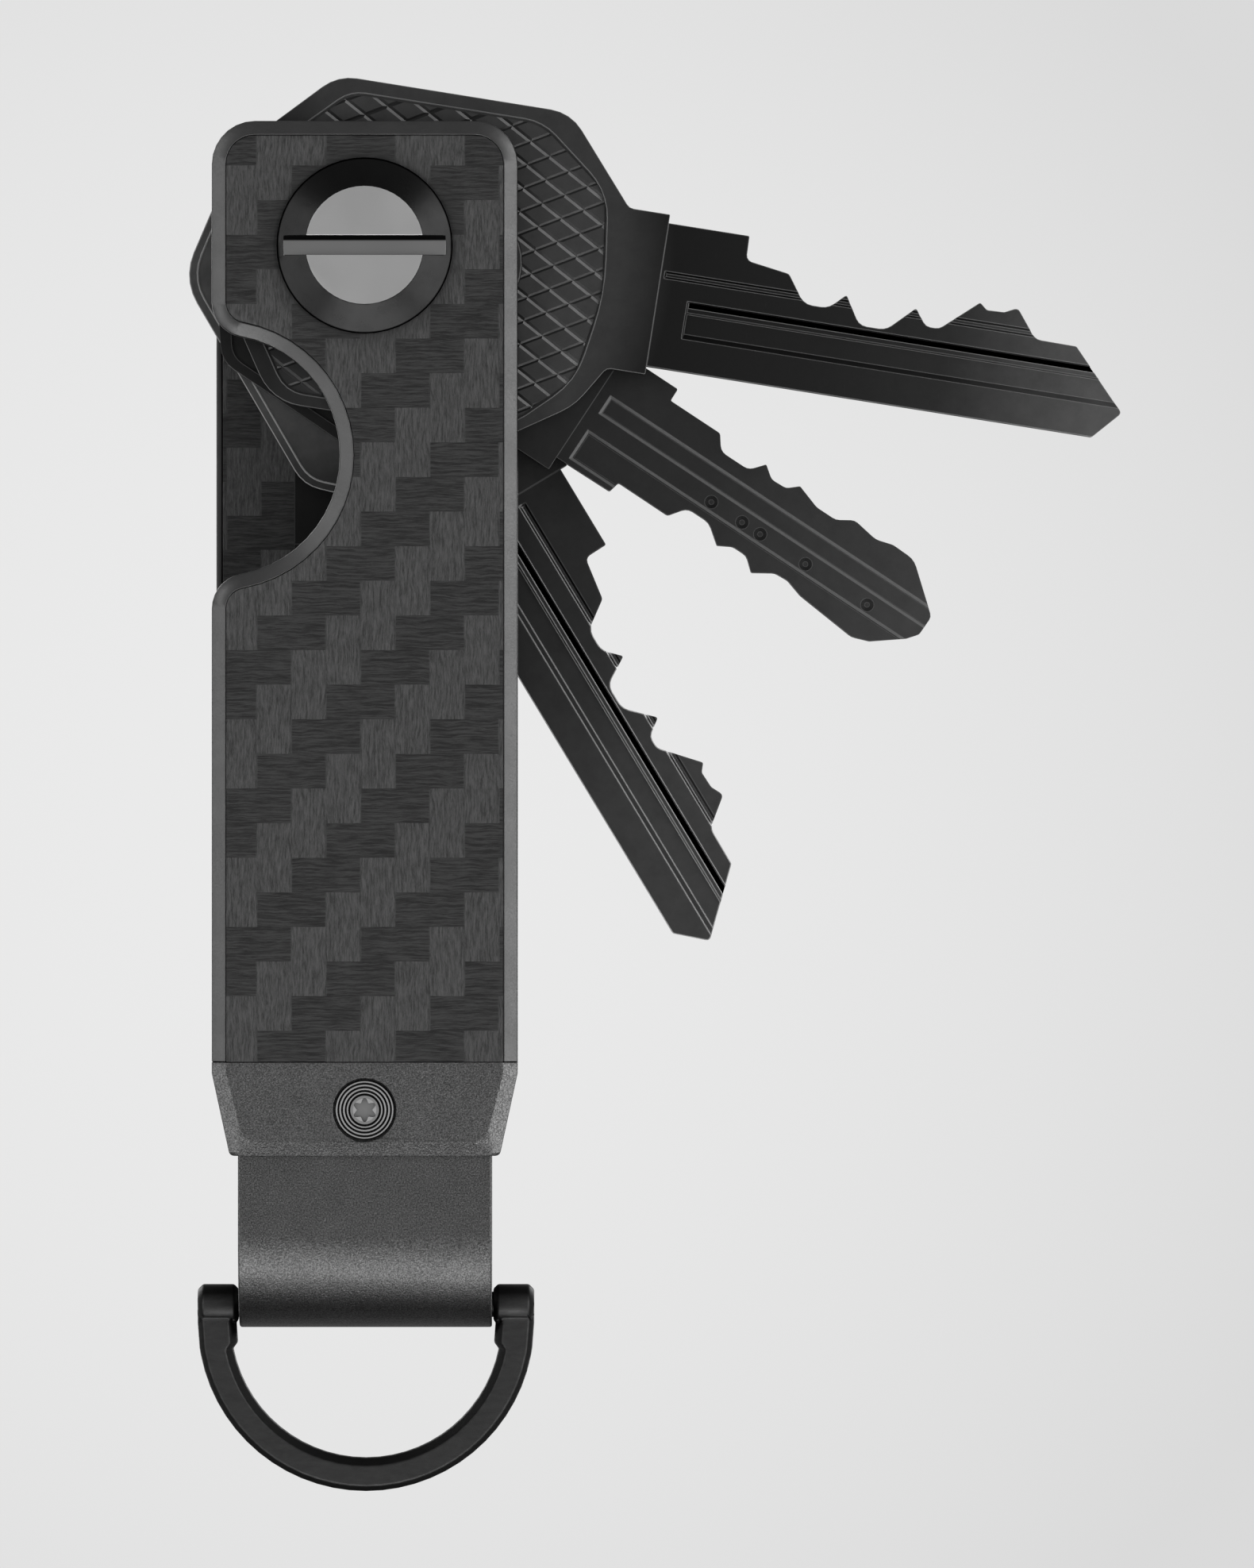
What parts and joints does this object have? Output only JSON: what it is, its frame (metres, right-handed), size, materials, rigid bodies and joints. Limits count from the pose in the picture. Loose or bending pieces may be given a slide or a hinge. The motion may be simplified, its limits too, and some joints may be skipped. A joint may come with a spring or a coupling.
{
  "type": "key organiser",
  "caption": "Pocket key organiser: carbon plates in chamfered metal rims, keys that fan out on a coin-slot pivot, and a D-ring on a bent strap.",
  "frame": {"origin": "on the pivot axis, at the flat rear end of the key post's head, the rearmost flat face", "axes": "+Z along the case towards the pivot end, +X to the right as seen from the coin-slot side, the side the keys fan out to, +Y to the rear"},
  "size_m": [0.0694, 0.0184, 0.1053],
  "materials": {
    "rim": "black anodised, satin",
    "carbon": "twill carbon laminate, satin",
    "blasted": "bead blasted, dark grey",
    "strap": "dark grey coated spring steel",
    "small_screw": "turned, dark",
    "d_ring": "black coated steel",
    "pivot": "satin, darkened",
    "key": "black coated",
    "washer": "black acetal"
  },
  "bodies": {
    "case": {"front_rim": "rim", "rear_rim": "rim", "front_panel": "carbon", "rear_panel": "carbon", "end_block": "blasted", "strap": "strap", "strap_screw_front": "small_screw", "strap_screw_rear": "small_screw", "pivot_post": "pivot", "washer_front": "washer", "washer_1_2": "washer", "washer_2_3": "washer", "washer_3_4": "washer", "washer_rear": "washer"},
    "key_1_body": {"key_1": "key"},
    "key_2_body": {"key_2": "key"},
    "key_3_body": {"key_3": "key"},
    "key_4_body": {"key_4": "key"},
    "screw": {"pivot_screw": "pivot"},
    "ring": {"d_ring": "d_ring", "hinge_bar": "d_ring"}
  },
  "joints": [
    {"name": "key_1_swing", "type": "hinge", "parent": "case", "child": "key_1_body", "pos_m": [0, -0.01346, 0], "axis": [0, 1, 0], "range_deg": [-99.03, 80.97]},
    {"name": "key_2_swing", "type": "hinge", "parent": "case", "child": "key_2_body", "pos_m": [0, -0.01062, 0], "axis": [0, 1, 0], "range_deg": [-123.4, 56.6]},
    {"name": "key_3_swing", "type": "hinge", "parent": "case", "child": "key_3_body", "pos_m": [0, -0.00778, 0], "axis": [0, 1, 0], "range_deg": [-148.9, 31.1]},
    {"name": "key_4_swing", "type": "hinge", "parent": "case", "child": "key_4_body", "pos_m": [0, -0.00494, 0], "axis": [0, 1, 0], "range_deg": [-180, 0]},
    {"name": "pivot_screw_turn", "type": "hinge", "parent": "case", "child": "screw", "pos_m": [0, -0.0184, 0], "axis": [0, 1, 0], "continuous": true},
    {"name": "d_ring_swing", "type": "hinge", "parent": "case", "child": "ring", "pos_m": [0, -0.0092, -0.0788], "axis": [1, 0, 0], "range_deg": [-85, 85]}
  ]
}
